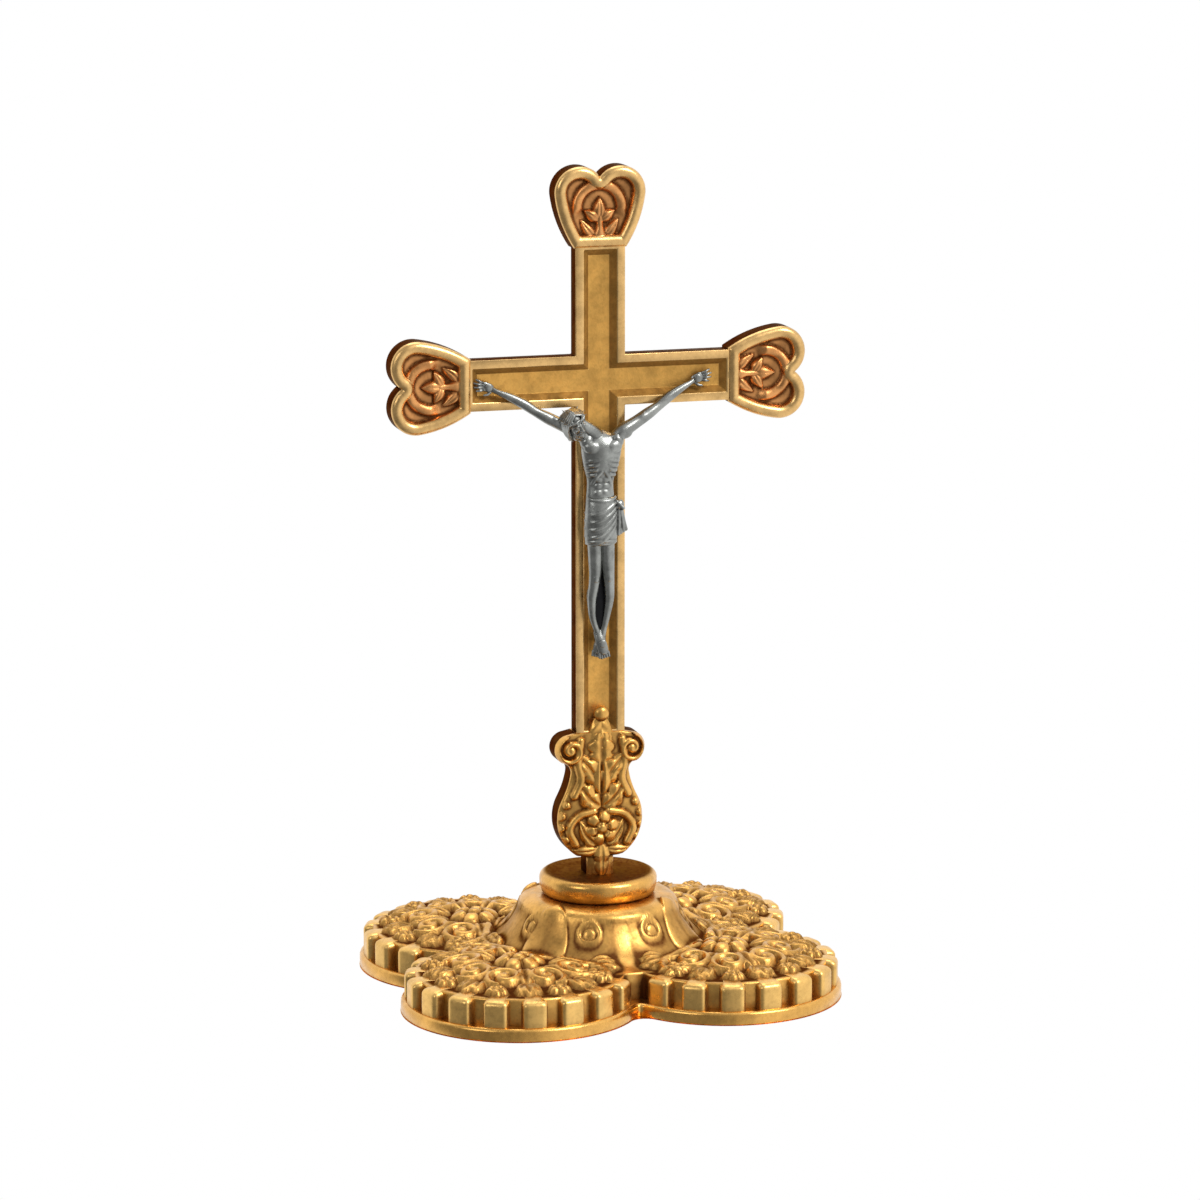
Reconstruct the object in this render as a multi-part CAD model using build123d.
"""Standing table crucifix: a cast cross with heart ends and a figure, on a lobed and gadrooned base.

Millimetres. Z points up, X runs along the crossbar, the front faces -Y.
The origin is the middle of the base on the ground.
"""
import os
from math import atan2, cos, degrees, pi, radians, sin, sqrt

from build123d import *

# Base casting
LOBE_R = 23.0  # radius of a lobe at the lip
LOBE_LAP_X = 2.6  # left and right lobes reach this far past the middle
LOBE_LAP_Y = 6.0  # front and rear lobes reach this far past the middle
LIP_H = 2.6  # height of the plain lip
LIP_CHAMFER = 0.7
NOTCH_ROUND = 3.0  # rounding of the notches between lobes
GADROON_COUNT = 10  # gadroons round the open arc of a lobe
GADROON_L = 7.0  # lip inwards
GADROON_W = 5.0  # along the lip
GADROON_CORNER = 0.8  # cut off its upright corners
GADROON_BEVEL = 1.1  # round its top
GADROON_SET = 0.8  # gadroons stand back this far from the lip
RIM_H = 7.8  # height of the gadroon tops
SHOULDER_H = 6.2  # height of the wall behind the gadroons
LOBE_CROWN = 1.4  # rise of a lobe's top above the gadroons
CROWN_SIDES = 18
CROWN_EDGE = 0.6  # edge of that top below the gadroons
CROWN_SET = 2.0  # that edge from the gadroons' middle line, inwards
BASE_H = 17.4  # height of the seat for the collar
SEAT_R = 12.2
DOME_R = 25.5  # radius where the dome runs out on the lobes
DOME_SWELL_W = 3.4  # rounded shoulder below the seat
DOME_SWELL_H = 2.2
DOME_SIDES = 28
CAVITY_WALL = 5.2  # lip to hollow, at the ground
CAVITY_H = 4.6  # height of the hollow under the lobes
ROOF_H = 13.4  # height of the roof over the hollow's middle
ROOF_R = 8.0
RELIEF_H = 1.2  # flowers and leaves above the lobes
RELIEF_ROOT = 1.6  # how far they go down into them
FLOWER_R = 4.6
FLOWER_PETALS = 6
FLOWER_WAIST = 0.72  # radius between petals over that of the flower
FLOWER_LEVELS = ((1.0, 0.6), (0.7, 1.0))  # petal radius and height, as shares
FLOWER_BEAD_R = 1.5
FLOWER_BEAD_H = 1.9
LEAF_ROOT = 4.2  # root of a leaf from the flower's middle
LEAF_L = 10.6
LEAF_W = 5.8
LEAF_BACK = 0.45  # width of the leaf's back over that of its foot
LEAF_TURNS = (-132, -88, -44, 0, 44, 88, 132)  # degrees from the base's middle outwards
LEAF_SHAPE = ((0.36, 0.16), (0.5, 0.45), (0.32, 0.78))  # edge points as shares of width and length
CLIMB_FOOT = 21.4  # foot of the leaf that climbs the dome, from the base's middle
CLIMB_TIP = 13.8
CLIMB_W = 9.6

# Collar
COLLAR_R = 11.5
COLLAR_H = 4.4
COLLAR_ROUND = 1.4
COLLAR_SIDES = 26
COLLAR_DISH_R = 9.2  # the sunk top face
COLLAR_DISH = 0.4

# Foot ornament
STEM_W = 5.4
STEM_H = 3.4  # stem between the collar and the belly
FOOT_H = 24.6  # belly and scrolls, above the stem
FOOT_T = 5.4
BELLY_FOOT_W = 9.4
BELLY_W = 17.2
BELLY_Z = 6.6  # middle of the belly above the stem
FLANK_W = 15.2  # where the belly turns into the waist
FLANK_Z = 11.4
WAIST_W = 11.8
WAIST_Z = 16.4
SCROLL_R = 3.0
SCROLL_SPAN = 18.2  # over both scrolls
SCROLL_Z = 21.3
SCROLL_EYE_R = 1.9
SCROLL_STEP = 0.5  # the scroll eyes stand this far proud
PLUME_W = 5.8  # leaf that laps over the foot of the field
PLUME_L = 6.0
BEAD_R = 1.5  # bead on that leaf
BEAD_H = 0.9
BEAD_Z = 3.8  # its middle above the scrolls
SPIGOT_R = 2.4
SPIGOT_H = 1.2

# Cross
BAR_W = 9.8
BAR_T = 3.6
RIM_W = 1.5  # flat polished rim
BEVEL_W = 1.3  # sloping wall between the rim and the field
FIELD_DEPTH = 1.3
EDGE_CHAMFER = 0.25
SHAFT_L = 69.0  # foot ornament to the middle of the crossing
ARM_REACH = 25.6  # middle of the crossing to the heart

# Heart ends
HEART_L = 15.6
HEART_T = 4.8
HEART_ROOT_W = 10.4
HEART_LOBE_R = 5.0
HEART_LOBE_X = 4.0  # lobe centres from the heart's middle line
HEART_FLANK_AT = -8.0  # degrees, where a lobe runs into its flank
HEART_RIM_W = 2.2
HEART_CHAMFER = 0.6
HEART_SINK = 1.3  # depth of the sunk field
BUD_Z = 5.6  # foot of the petals above the root
BUD_STEM_W = 1.3
PETAL_L = 5.4
PETAL_W = 2.4
PETAL_T = 0.9
PETAL_SPREAD = 36.0  # degrees between petals

# Tongues, pockets and rivets
TONGUE_W = 6.2
TONGUE_T = 1.4
TONGUE_L = 6.4
FIT = 0.05  # clearance of a tongue in its pocket
PIN_SIDES = 8  # of rivets and nails
RIVET_R = 0.8
RIVET_HEAD_R = 1.5
RIVET_HEAD_H = 0.5
RIVET_BITE = 0.4  # rivet beyond the tongue

# Tie hardware
STUD_R = 1.5
STUD_GRIP = 7.0  # stud in the foot ornament
STUD_HOLE_R = 1.7
WASHER_R = 3.5
WASHER_T = 0.6
NUT_AF = 5.5
NUT_H = 2.4
STUD_TAIL = 1.2  # stud below the nut

# Figure, with depths and drops from the middle of the crossing
FIGURE_GAP = 0.2  # figure clear of the cross
FIGURE_SIDES = 8
HAND_SET = 4.8  # nails of the hands from the hearts, on average
HAND_SHIFT = -1.4  # both hands, sideways
HAND_DROP = 0.3
WRIST_SET = 2.2  # wrist from the nail
WRIST_Y = 0.8  # wrist in front of the palm
ELBOW_Y = 0.7  # elbow behind the chest
FEET_X = -0.5
FEET_RISE = 18.2  # nail of the feet above the foot ornament
PALM_W = 2.5
PALM_L = 3.6
PALM_T = 1.3
PALM_SLOPE = 68.0  # degrees from upright
FINGER_W = 1.8
FINGER_L = 2.6
FINGER_T = 1.0
FINGER_RISE = 0.5  # fingers above the nail
FEET_W = 2.4
FEET_L = 6.0
FEET_T = 2.9
FEET_CROSS = 6.0  # degrees that each foot is turned
SHOULDER_X = 4.6
SHOULDER_DROP = 9.4
CHEST_X = -0.7
CHEST_Y = -4.6
TORSO_SHARE = 0.405  # neck to crotch, as a share of the drop to the feet
NECK_ROOT = 2.6  # neck and arms start this far down in the trunk
HIP_X = -0.9
HIP_SPREAD = 1.5  # leg from the middle of the hips
HIP_RISE = 3.2  # legs start this far up in the trunk
KNEE_Y = -5.4
KNEE_RISE = 2.4  # knee above the middle of the leg
ANKLE_SPREAD = 0.7
ANKLE_RISE = 3.4  # ankle above the nail
HEAD_X = -6.6
HEAD_Y = -6.1
HEAD_DROP = 7.2
HEAD_H = 6.2
HEAD_TURN = (22, -30, 0)  # degrees
SKULL_SHARES = (0.74, 0.86, 1.0)  # half sizes over half the head's height
HAIR_SHARES = (0.88, 0.84, 1.1)
HAIR_SET = (0.2, 0.7, -0.3)  # hair from the skull's middle
BEARD_SHARES = (0.44, 0.44, 0.6)
BEARD_SET = (0.7, -0.9, 2.2)
HIP_W = 5.8
HIP_T = 3.6
CLOTH_SHARE = 0.62  # cloth starts this far down the torso
CLOTH_L = 9.4
CLOTH_T = 0.5  # cloth beyond the hips
CLOTH_TAIL = 0.85  # length of the hanging end over the cloth's
CLOTH_SWING = 0.7  # its foot, sideways
KNOT_R = 1.3
NAIL_R = 0.35
NAIL_HEAD_R = 0.8
NAIL_HEAD_H = 0.45
NAIL_GRIP = 1.3  # nail in the cross

# Trunk rings: share of the torso's length, half width, half depth
TORSO_RINGS = (
    (0.0, 2.1, 1.2),
    (0.06, 3.6, 1.8),
    (0.17, 4.0, 2.4),
    (0.33, 3.4, 2.2),
    (0.49, 2.7, 1.8),
    (0.65, 3.0, 1.9),
    (0.88, 3.1, 2.0),
    (1.0, 2.6, 1.8),
)
# Cloth rings: share of the cloth's length, swell beyond the hips
CLOTH_RINGS = ((0.0, 0.0), (0.15, 0.2), (0.4, 0.35), (0.7, 0.4), (1.0, 0.2))
# Limb rings: share of the limb's length, radius
NECK_RINGS = ((0.0, 1.3), (0.5, 1.5), (1.0, 1.3))
ARM_RINGS = (
    (0.0, 1.4),
    (0.12, 1.5),
    (0.25, 1.3),
    (0.4, 1.2),
    (0.52, 1.0),
    (0.62, 1.05),
    (0.78, 0.9),
    (0.93, 0.65),
    (1.0, 0.6),
)
LEG_RINGS = (
    (0.0, 1.6),
    (0.12, 1.65),
    (0.24, 1.55),
    (0.36, 1.4),
    (0.46, 1.3),
    (0.56, 1.15),
    (0.66, 1.15),
    (0.78, 1.0),
    (0.9, 0.8),
    (1.0, 0.85),
)

# Levels that follow
LOBE_X = LOBE_R - LOBE_LAP_X
LOBE_Y = LOBE_R - LOBE_LAP_Y
GADROON_RING_R = LOBE_R - GADROON_SET - GADROON_L / 2
CROWN_R = GADROON_RING_R - CROWN_SET
COLLAR_TOP = BASE_H + COLLAR_H
STEM_FOOT = COLLAR_TOP - COLLAR_DISH
FOOT_Z = COLLAR_TOP + STEM_H
FOOT_TOP = FOOT_Z + FOOT_H
BAR_Z = FOOT_TOP + SHAFT_L
BAR_FRONT = -BAR_T / 2
FIELD_Y = BAR_FRONT + FIELD_DEPTH
TONGUE_Y = (FIELD_Y + BAR_T / 2) / 2
HEART_LOBE_Y = HEART_L - HEART_LOBE_R
HAND_X = ARM_REACH - HAND_SET
FEET_DROP = SHAFT_L - FEET_RISE
TORSO_L = TORSO_SHARE * FEET_DROP
PALM_Y = FIELD_Y - FIGURE_GAP - PALM_T / 2
FEET_Y = BAR_FRONT - FIGURE_GAP - FEET_T / 2
CLOTH_DROP = SHOULDER_DROP + CLOTH_SHARE * TORSO_L
CROTCH_DROP = SHOULDER_DROP + TORSO_L
BOTTOM = (Align.CENTER, Align.CENTER, Align.MIN)


def front_plane(y):
    """Upright plane facing the viewer, so that its x and y are X and Z."""
    return Plane(origin=(0, y, 0), x_dir=(1, 0, 0), z_dir=(0, -1, 0))


def plate(outline, y_back, y_front):
    """Front-view outline as a plate between two depths."""
    return extrude(front_plane(y_back) * outline, amount=y_back - y_front)


def pin(radius, start, end):
    """Round pin between two points."""
    way = Vector(*end) - Vector(*start)
    return extrude(Plane(origin=start, z_dir=way) * Circle(radius), amount=way.length)


def ring(place, wide, deep, sides):
    """Corners of a many-sided oval on a placed level."""
    turns = [(side + 0.5) / sides * 2 * pi for side in range(sides)]
    return [(place * Pos(wide * cos(turn), deep * sin(turn))).position for turn in turns]


def skin(rings):
    """Closed body with flat facets through rings of as many corners each."""
    faces = [Face(Wire.make_polygon(rings[0])), Face(Wire.make_polygon(rings[-1]))]
    for lower, upper in zip(rings, rings[1:]):
        for index, corner in enumerate(lower):
            before = index - 1
            faces.append(Face(Wire.make_polygon([lower[before], corner, upper[index]])))
            faces.append(Face(Wire.make_polygon([lower[before], upper[index], upper[before]])))
    return Part() + Solid(Shell(faces)).clean()


def stack(profile, sides):
    """Round body with flat facets through radii and heights."""
    return skin([ring(Pos(0, 0, z), radius, radius, sides) for radius, z in profile])


def headed_pin(shank_r, shank_l, head_r, head_h):
    """Pin hanging down from the ground, with a low sloping head above it."""
    top = [(head_r * 0.6, head_h), (head_r, 0)]
    return stack(top, PIN_SIDES) + stack([(shank_r, 0), (shank_r, -shank_l)], PIN_SIDES)


# Base casting


def lobe_places():
    return [(x, y) for x in (-LOBE_X, LOBE_X) for y in (-LOBE_Y, LOBE_Y)]


def quatrefoil(radius):
    """Four overlapping discs as one outline."""
    outline = Rectangle(2 * LOBE_X, 2 * LOBE_Y)
    for place in lobe_places():
        outline += Pos(*place) * Circle(radius)
    return outline


def lip():
    """Plain lip with softened notches and a bevelled top edge."""
    outline = quatrefoil(LOBE_R)
    notches = [v for v in outline.vertices() if min(abs(v.X), abs(v.Y)) < LOBE_R / 100]
    outline = fillet(notches, NOTCH_ROUND)
    body = extrude(outline, amount=LIP_H)
    return chamfer(body.faces().sort_by(Axis.Z)[-1].edges(), LIP_CHAMFER)


def round_over(radius, height, steps):
    """Quarter round from a level top to an upright side, in straight steps, as offsets from its corner."""
    turns = [step / steps * pi / 2 for step in range(steps + 1)]
    return [(radius * (sin(turn) - 1), height * (cos(turn) - 1)) for turn in turns]


def gadroon():
    """Upright rib with a flat front and a bevelled top, standing on the ground and pointing along X."""
    outline = Rectangle(GADROON_L, GADROON_W)
    outline = chamfer(outline.vertices(), GADROON_CORNER)
    body = extrude(outline, amount=RIM_H)
    return chamfer(body.faces().sort_by(Axis.Z)[-1].edges(), GADROON_BEVEL)


def gadroon_places():
    """Even places along the open arc of one lobe, and the same on the other three."""
    first = degrees(atan2(-sqrt(LOBE_R**2 - LOBE_X**2), -LOBE_X))
    last = degrees(atan2(LOBE_Y, sqrt(LOBE_R**2 - LOBE_Y**2)))
    pitch = (last - first) / GADROON_COUNT
    places = []
    for index in range(GADROON_COUNT):
        angle = first + (index + 0.5) * pitch
        x = LOBE_X + GADROON_RING_R * cos(radians(angle))
        y = LOBE_Y - GADROON_RING_R * sin(radians(angle))
        for side in (-1, 1):
            places += [Pos(side * x, y) * Rot(Z=-side * angle), Pos(side * x, -y) * Rot(Z=side * angle)]
    return places


def lobe_top():
    """Low crown over one lobe, inside the gadroon tops."""
    top = RIM_H + LOBE_CROWN
    rise = LOBE_CROWN + CROWN_EDGE
    crown = [(CROWN_R * share, top - rise * share**2) for share in (0.3, 0.7, 1.0)]
    return stack([*crown, (CROWN_R, LIP_H)], CROWN_SIDES)


def flower():
    """Round flower with its petals as scallops and a bead, sunk into the ground."""
    sides = 2 * FLOWER_PETALS
    levels = [(share, high * RELIEF_H) for share, high in FLOWER_LEVELS]
    rings = []
    for share, z in [(1.0, -RELIEF_ROOT), *levels]:
        corners = ring(Pos(0, 0, z), FLOWER_R * share, FLOWER_R * share, sides)
        for side in range(0, sides, 2):
            x, y, _ = corners[side]
            corners[side] = Vector(x * FLOWER_WAIST, y * FLOWER_WAIST, z)
        rings.append(corners)
    bead = [(FLOWER_BEAD_R / 2, FLOWER_BEAD_H), (FLOWER_BEAD_R, FLOWER_BEAD_H * 0.75), (FLOWER_BEAD_R, 0)]
    return skin(rings) + stack(bead, FLOWER_PETALS)


def leaf_ring(length, width, z, shrink):
    """Corners of a pointed leaf lying along Y, drawn in towards its spine."""
    side = [(width * x * shrink, length * y) for x, y in LEAF_SHAPE]
    left = [(-x, y) for x, y in reversed(side)]
    trim = length * (1 - shrink) / 4
    return [Vector(x, y, z) for x, y in [(0, trim), *side, (0, length - trim), *left]]


def leaf(length, width, root):
    """Pointed leaf with sloping sides, going down to its root."""
    return skin([leaf_ring(length, width, -root, 1.0), leaf_ring(length, width, RELIEF_H, LEAF_BACK)])


def lobe_relief():
    """Flower on a lobe's top with leaves round it; Y points outwards."""
    slope = degrees(atan2(LOBE_CROWN + CROWN_EDGE, CROWN_R))
    spray = Pos(0, LEAF_ROOT, 0) * Rot(X=-slope) * leaf(LEAF_L, LEAF_W, RELIEF_ROOT)
    return [flower(), *[Rot(Z=-turn) * spray for turn in LEAF_TURNS]]


def climbing_leaf():
    """Leaf from a lobe up the dome, its spine over the sweep; Y points outwards from the base's middle."""
    rise = BASE_H - DOME_SWELL_H - RIM_H
    run = CLIMB_FOOT - CLIMB_TIP
    slope = Rot(X=degrees(atan2(rise, run)))
    body = leaf(sqrt(rise**2 + run**2), CLIMB_W, 2 * RELIEF_ROOT)
    return Pos(0, CLIMB_FOOT, RIM_H) * Rot(Z=180) * slope * body


def relief():
    """Flowers and leaves of all four lobes."""
    found = []
    for x, y in lobe_places():
        outwards = Rot(Z=degrees(atan2(y, x)) - 90)
        found += [Pos(x, y, RIM_H + LOBE_CROWN) * outwards * form for form in lobe_relief()]
        found.append(outwards * climbing_leaf())
    return found


def dome():
    """Bell-shaped middle that carries the collar: a rounded shoulder, then a hollow sweep to the lobes."""
    swell_r = SEAT_R + DOME_SWELL_W
    swell = [(swell_r + x, BASE_H + z) for x, z in round_over(DOME_SWELL_W, DOME_SWELL_H, 2)]
    drop = BASE_H - DOME_SWELL_H - RIM_H
    reach = DOME_R - swell_r
    sweep = [(DOME_R - x - reach, RIM_H - z) for x, z in round_over(reach, drop, 3)]
    return stack([*swell, *sweep[-2::-1], (DOME_R, LIP_H / 2)], DOME_SIDES)


def hollow():
    """Hollow under the base, higher in the middle, with a flat roof for the washer."""
    under = extrude(quatrefoil(LOBE_R - CAVITY_WALL), amount=CAVITY_H)
    foot_r = ROOF_R + ROOF_H - CAVITY_H
    return under + stack([(ROOF_R, ROOF_H), (foot_r, CAVITY_H), (foot_r, 0)], DOME_SIDES)


def base_casting():
    body = lip() + extrude(quatrefoil(GADROON_RING_R), amount=SHOULDER_H)
    body += [Pos(*place) * lobe_top() for place in lobe_places()]
    body += dome()
    body += [place * gadroon() for place in gadroon_places()]
    body += relief()
    body -= hollow()
    return body - pin(STUD_HOLE_R, (0, 0, 0), (0, 0, COLLAR_TOP))


# Collar


def socket_collar():
    upper = [(COLLAR_R + x, COLLAR_TOP + z) for x, z in round_over(COLLAR_ROUND, COLLAR_ROUND, 3)]
    lower = [(COLLAR_R + x, BASE_H - z) for x, z in round_over(COLLAR_ROUND, COLLAR_ROUND, 1)]
    body = stack([*upper, *lower[::-1]], COLLAR_SIDES)
    body -= stack([(COLLAR_DISH_R, COLLAR_TOP), (COLLAR_DISH_R, STEM_FOOT)], COLLAR_SIDES)
    body -= pin(SPIGOT_R, (0, 0, STEM_FOOT - SPIGOT_H), (0, 0, COLLAR_TOP))
    return body - pin(STUD_HOLE_R, (0, 0, 0), (0, 0, COLLAR_TOP))


# Foot ornament


def foot_outline():
    """Lyre drawn up its right side from the stem, then mirrored."""
    stem = STEM_W / 2
    foot = STEM_FOOT - FOOT_Z
    scroll_x = SCROLL_SPAN / 2 - SCROLL_R
    foot_corner = (BELLY_FOOT_W / 2, 0)
    scroll = CenterArc((scroll_x, SCROLL_Z), SCROLL_R, -60, 130)
    belly = ThreePointArc(foot_corner, (BELLY_W / 2, BELLY_Z), (FLANK_W / 2, FLANK_Z))
    flank = TangentArc(belly @ 1, (WAIST_W / 2, WAIST_Z), tangent=belly % 1)
    lines = [
        Polyline((0, foot), (stem, foot), (stem, 0), foot_corner),
        belly,
        flank,
        TangentArc(flank @ 1, scroll @ 0, tangent=flank % 1),
        scroll,
        Polyline(scroll @ 1, (BAR_W / 2, FOOT_H), (0, FOOT_H), (0, foot)),
    ]
    half = make_face(lines)
    return half + mirror(half, about=Plane.YZ)


def plume():
    """Pointed leaf that laps over the upright's front."""
    tip = (0, FOOT_TOP + PLUME_L)
    root = (0, FOOT_TOP - PLUME_L)
    outline = make_face(
        [
            ThreePointArc(root, (PLUME_W / 2, FOOT_TOP), tip),
            ThreePointArc(tip, (-PLUME_W / 2, FOOT_TOP), root),
        ]
    )
    bead = stack([(BEAD_R * 0.5, BEAD_H), (BEAD_R, BEAD_H / 2), (BEAD_R, 0)], 2 * PIN_SIDES)
    body = plate(outline, BAR_FRONT - FIT, -FOOT_T / 2)
    return body + Pos(0, -FOOT_T / 2, FOOT_TOP + BEAD_Z) * Rot(X=90) * bead


def foot_ornament():
    body = plate(Pos(0, FOOT_Z) * foot_outline(), FOOT_T / 2, -FOOT_T / 2)
    body += plume()
    body += pin(SPIGOT_R, (0, 0, STEM_FOOT - SPIGOT_H), (0, 0, STEM_FOOT))
    for side in (-1, 1):
        x = side * (SCROLL_SPAN / 2 - SCROLL_R)
        z = FOOT_Z + SCROLL_Z
        body += pin(SCROLL_EYE_R, (x, 0, z), (x, -FOOT_T / 2 - SCROLL_STEP, z))
    body -= pocket(foot_end())
    body -= pin(STUD_R, (0, 0, 0), (0, 0, STEM_FOOT + STUD_GRIP))
    return body - rivet(foot_end(), FOOT_T)


# Cross


def cross_outline(width):
    """Cross of one bar width."""
    top = BAR_Z + ARM_REACH
    upright = Pos(0, (top + FOOT_TOP) / 2) * Rectangle(width, top - FOOT_TOP)
    return upright + Pos(0, BAR_Z) * Rectangle(2 * ARM_REACH, width)


def arm_ends():
    """Places of the heart roots: Z along the arm, the front kept at -Y."""
    crossing = Pos(0, 0, BAR_Z)
    reach = Pos(0, 0, ARM_REACH)
    return {
        "top": crossing * reach,
        "left": crossing * Rot(Y=-90) * reach,
        "right": crossing * Rot(Y=90) * reach,
    }


def foot_end():
    """Place of the upright's lower end, Z pointing down into the foot ornament."""
    return Pos(0, 0, FOOT_TOP) * Rot(Y=180)


def tongue(place):
    """Flat tongue on the end of an arm."""
    return place * Pos(0, TONGUE_Y, 0) * Box(TONGUE_W, TONGUE_T, TONGUE_L, align=BOTTOM)


def pocket(place):
    """Room for a tongue with its clearance."""
    room = Box(TONGUE_W + 2 * FIT, TONGUE_T + 2 * FIT, TONGUE_L + FIT, align=BOTTOM)
    return place * Pos(0, TONGUE_Y, 0) * room


def rivet(place, thickness):
    """Rivet put in from the back, through a tongue."""
    tip = TONGUE_Y - TONGUE_T / 2 - RIVET_BITE
    body = headed_pin(RIVET_R, thickness / 2 - tip, RIVET_HEAD_R, RIVET_HEAD_H)
    return place * Pos(0, thickness / 2, TONGUE_L / 2) * Rot(X=-90) * body


def field_cut():
    """Sunk field with sloping walls that meet in mitres at the crossing."""
    floor_w = BAR_W - 2 * RIM_W - 2 * BEVEL_W
    mouth_w = BAR_W - 2 * RIM_W
    floor = front_plane(FIELD_Y) * cross_outline(floor_w)
    mouth = front_plane(BAR_FRONT) * cross_outline(mouth_w)
    return loft([floor, mouth], ruled=True)


def cross_frame():
    body = plate(cross_outline(BAR_W), BAR_T / 2, BAR_FRONT)
    for pick in (0, -1):
        body = chamfer(body.faces().sort_by(Axis.Y)[pick].edges(), EDGE_CHAMFER)
    body -= field_cut()
    body += [tongue(place) for place in [*arm_ends().values(), foot_end()]]
    body -= [rivet(place, HEART_T) for place in arm_ends().values()]
    body -= rivet(foot_end(), FOOT_T)
    return body - [nail(*place) for place in nail_places().values()]


# Heart ends


def heart_outline():
    """Heart growing upwards from a straight root on the x axis."""
    root = Vector(HEART_ROOT_W / 2, 0)
    lobe = Vector(HEART_LOBE_X, HEART_LOBE_Y)
    spoke = Vector(1, 0).rotate(Axis.Z, HEART_FLANK_AT)
    touch = lobe + spoke * HEART_LOBE_R
    notch = Vector(0, HEART_LOBE_Y + sqrt(HEART_LOBE_R**2 - HEART_LOBE_X**2))
    crown = lobe + Vector(HEART_LOBE_R, 0).rotate(Axis.Z, 60)
    half = make_face(
        [
            Line((0, 0), root),
            TangentArc(touch, root, tangent=spoke.rotate(Axis.Z, -90)),
            ThreePointArc(touch, crown, notch),
            Line(notch, (0, 0)),
        ]
    )
    return half + mirror(half, about=Plane.YZ)


def bud():
    """Tulip of three pointed petals on a stem, standing up from the heart's sunk field."""
    base = -HEART_T / 2 + HEART_SINK
    swell = PETAL_L * 0.55
    half = PETAL_W / 2
    petal = make_face(Polyline((0, 0), (half, swell), (0, PETAL_L), (-half, swell), close=True))
    outline = Pos(0, BUD_Z / 2) * Rectangle(BUD_STEM_W, BUD_Z)
    for turn in (-PETAL_SPREAD, 0, PETAL_SPREAD):
        outline += Pos(0, BUD_Z - BUD_STEM_W / 2) * Rot(Z=turn) * petal
    return plate(outline, base, base - PETAL_T)


def heart(place):
    outline = heart_outline()
    body = plate(outline, HEART_T / 2, -HEART_T / 2)
    body = chamfer(body.faces().sort_by(Axis.Y)[0].edges(), HEART_CHAMFER)
    sunk = offset(outline, amount=-HEART_RIM_W)
    body -= plate(sunk, -HEART_T / 2 + HEART_SINK, -HEART_T / 2)
    body += bud()
    body -= pocket(Pos(0, 0, 0))
    body -= rivet(Pos(0, 0, 0), HEART_T)
    return place * body


# Figure


def limb(path, rings, level):
    """Limb lofted along a path through parallel rings of share and radius."""
    return skin([ring(Pos(path @ share) * level, radius, radius, FIGURE_SIDES) for share, radius in rings])


def spot(x, y, drop):
    """Point given by its drop below the middle of the crossing."""
    return Vector(x, y, BAR_Z - drop)


def mass(x, y, drop, sizes, turn=(0, 0, 0)):
    """Egg-shaped mass with three half sizes, its rings square to its own Z."""
    wide, deep, tall = sizes
    sections = []
    for angle in (-70, -35, 0, 35, 70):
        z = tall * sin(radians(angle))
        share = cos(radians(angle))
        sections.append(ring(Pos(0, 0, z), wide * share, deep * share, FIGURE_SIDES))
    return Pos(spot(x, y, drop)) * Rot(*turn) * skin(sections)


def torso():
    sections = []
    for share, wide, deep in TORSO_RINGS:
        x = CHEST_X + (HIP_X - CHEST_X) * share
        place = Pos(spot(x, CHEST_Y, SHOULDER_DROP + share * TORSO_L))
        sections.append(ring(place, wide, deep, FIGURE_SIDES))
    return skin(sections)


def head_mass(place, shares):
    """Mass of the head, placed from the skull's middle and sized by half the head's height."""
    x, y, drop = place
    sizes = [HEAD_H / 2 * share for share in shares]
    return mass(HEAD_X + x, HEAD_Y + y, HEAD_DROP + drop, sizes, HEAD_TURN)


def head():
    """Bowed head with hair, a short beard and the neck."""
    throat = Spline(
        spot(CHEST_X, CHEST_Y, SHOULDER_DROP + NECK_ROOT),
        spot((CHEST_X * 2 + HEAD_X) / 3, CHEST_Y, SHOULDER_DROP),
        spot(HEAD_X + HEAD_H / 6, HEAD_Y + HEAD_H / 10, HEAD_DROP),
    )
    body = limb(throat, NECK_RINGS, Rot(0, HEAD_TURN[1], 0))
    body += head_mass((0, 0, 0), SKULL_SHARES)
    body += head_mass(HAIR_SET, HAIR_SHARES)
    return body + head_mass(BEARD_SET, BEARD_SHARES)


def arm(side):
    hand = side * HAND_X + HAND_SHIFT
    path = Spline(
        spot(side * SHOULDER_X / 2 + CHEST_X, CHEST_Y, SHOULDER_DROP + NECK_ROOT),
        spot(side * SHOULDER_X + CHEST_X, CHEST_Y, SHOULDER_DROP),
        spot((side * SHOULDER_X + CHEST_X + hand) / 2, CHEST_Y + ELBOW_Y, SHOULDER_DROP / 2),
        spot(hand - side * WRIST_SET, PALM_Y - WRIST_Y, HAND_DROP + WRIST_SET / 2),
        spot(hand - side * WRIST_SET / 3, PALM_Y, HAND_DROP + WRIST_SET / 6),
    )
    slope = (0, side * PALM_SLOPE, 0)
    palm = mass(hand, PALM_Y, HAND_DROP, (PALM_W / 2, PALM_T / 2, PALM_L / 2), slope)
    knuckles = hand + side * WRIST_SET / 2
    sizes = (FINGER_W / 2, FINGER_T / 2, FINGER_L / 2)
    fingers = mass(knuckles, PALM_Y, HAND_DROP - FINGER_RISE, sizes, slope)
    return limb(path, ARM_RINGS, Rot(0, 90, 0)) + palm + fingers


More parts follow.
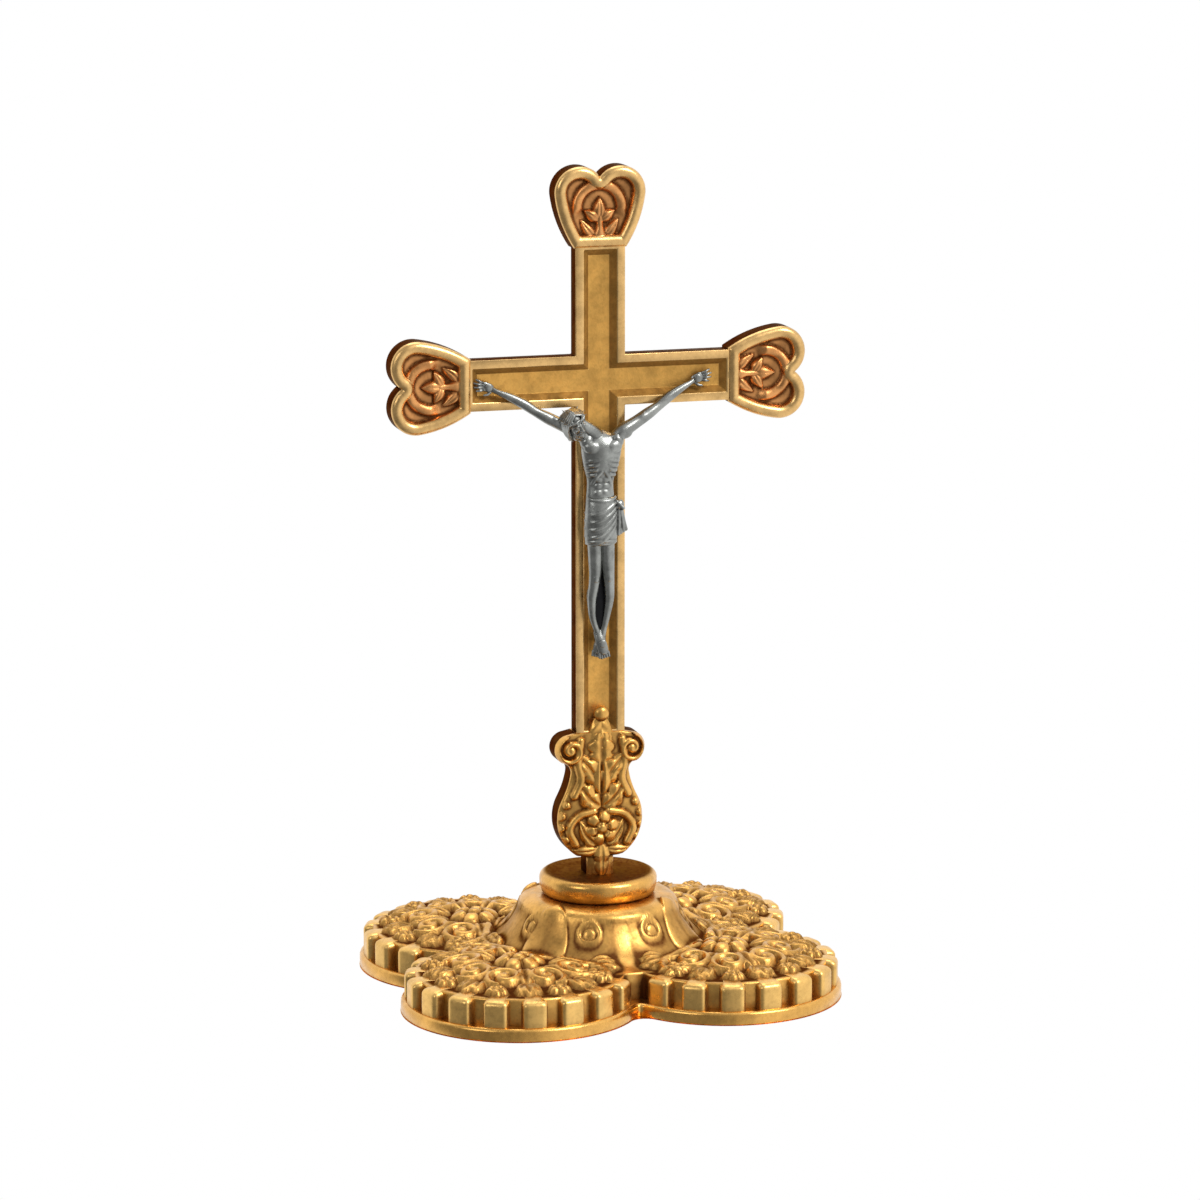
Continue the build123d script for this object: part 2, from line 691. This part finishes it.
def leg(side):
    knee_drop = (CROTCH_DROP + FEET_DROP) / 2 - KNEE_RISE
    path = Spline(
        spot(HIP_X + side * HIP_SPREAD, CHEST_Y, CROTCH_DROP - HIP_RISE),
        spot(HIP_X + side * HIP_SPREAD, KNEE_Y, knee_drop),
        spot(FEET_X + side * ANKLE_SPREAD, FEET_Y, FEET_DROP - ANKLE_RISE),
        spot(FEET_X + side * ANKLE_SPREAD, FEET_Y, FEET_DROP - ANKLE_RISE / 2),
    )
    return limb(path, LEG_RINGS, Rot(0, 0, 0))


def feet():
    """One foot crossed over the other, both pointing down."""
    quarter = FEET_T / 4
    sizes = (FEET_W / 2, quarter * 1.1, FEET_L / 2)
    under = mass(FEET_X, FEET_Y + quarter, FEET_DROP, sizes, (0, -FEET_CROSS, 0))
    return under + mass(FEET_X, FEET_Y - quarter, FEET_DROP, sizes, (0, FEET_CROSS, 0))


def loincloth():
    """Wrapped cloth with a knot and a hanging end at the viewer's right."""
    sections = []
    for share, swell in CLOTH_RINGS:
        place = Pos(spot(HIP_X, CHEST_Y - swell, CLOTH_DROP + share * CLOTH_L))
        over = CLOTH_T + swell
        sections.append(ring(place, HIP_W / 2 + over, HIP_T / 2 + over, FIGURE_SIDES))
    wrap = skin(sections)
    knot_x = HIP_X + HIP_W / 2 + CLOTH_T + KNOT_R / 2
    knot = mass(knot_x, CHEST_Y, CLOTH_DROP + KNOT_R, (KNOT_R, KNOT_R, KNOT_R))
    tail = Line(
        spot(knot_x, CHEST_Y, CLOTH_DROP + KNOT_R),
        spot(knot_x + CLOTH_SWING, CHEST_Y, CLOTH_DROP + CLOTH_L * CLOTH_TAIL),
    )
    rings = ((0.0, KNOT_R * 0.7), (0.5, KNOT_R), (1.0, KNOT_R * 0.7))
    return wrap + knot + limb(tail, rings, Rot(0, 0, 0))


def corpus():
    body = torso() + head() + arm(-1) + arm(1)
    body += leg(-1)
    body += leg(1)
    body += feet()
    body += loincloth()
    return body - [nail(*place) for place in nail_places().values()]


# Nails


def nail_places():
    """Where each nail's head sits: x, depth of the figure's front, drop below the crossing."""
    palm = PALM_Y - PALM_T / 2
    instep = FEET_Y - FEET_T / 2
    return {
        "left": (HAND_SHIFT - HAND_X, palm, HAND_DROP),
        "right": (HAND_SHIFT + HAND_X, palm, HAND_DROP),
        "feet": (FEET_X, instep, FEET_DROP),
    }


def nail(x, front, drop):
    """Nail driven through the figure into the field."""
    body = headed_pin(NAIL_R, FIELD_Y + NAIL_GRIP - front, NAIL_HEAD_R, NAIL_HEAD_H)
    return Pos(spot(x, front, drop)) * Rot(X=90) * body


# Tie hardware


def tie_stud():
    foot = ROOF_H - WASHER_T - NUT_H - STUD_TAIL
    return pin(STUD_R, (0, 0, foot), (0, 0, STEM_FOOT + STUD_GRIP))


def tie_washer():
    ring = Circle(WASHER_R) - Circle(STUD_R)
    return extrude(Pos(0, 0, ROOF_H - WASHER_T) * ring, amount=WASHER_T)


def tie_nut():
    ring = RegularPolygon(NUT_AF / 2, 6, major_radius=False) - Circle(STUD_R)
    return extrude(Pos(0, 0, ROOF_H - WASHER_T - NUT_H) * ring, amount=NUT_H)


def pieces():
    """Every piece by its name."""
    found = {
        "base_casting": base_casting(),
        "socket_collar": socket_collar(),
        "foot_ornament": foot_ornament(),
        "cross_frame": cross_frame(),
        "corpus": corpus(),
        "foot_rivet": rivet(foot_end(), FOOT_T),
        "tie_stud": tie_stud(),
        "tie_washer": tie_washer(),
        "tie_nut": tie_nut(),
    }
    for name, place in arm_ends().items():
        found["heart_" + name] = heart(place)
        found["heart_rivet_" + name] = rivet(place, HEART_T)
    for name, place in nail_places().items():
        found["nail_" + name] = nail(*place)
    return found


os.makedirs("parts", exist_ok=True)
for piece_name, piece in pieces().items():
    export_step(piece, f"parts/{piece_name}.step")
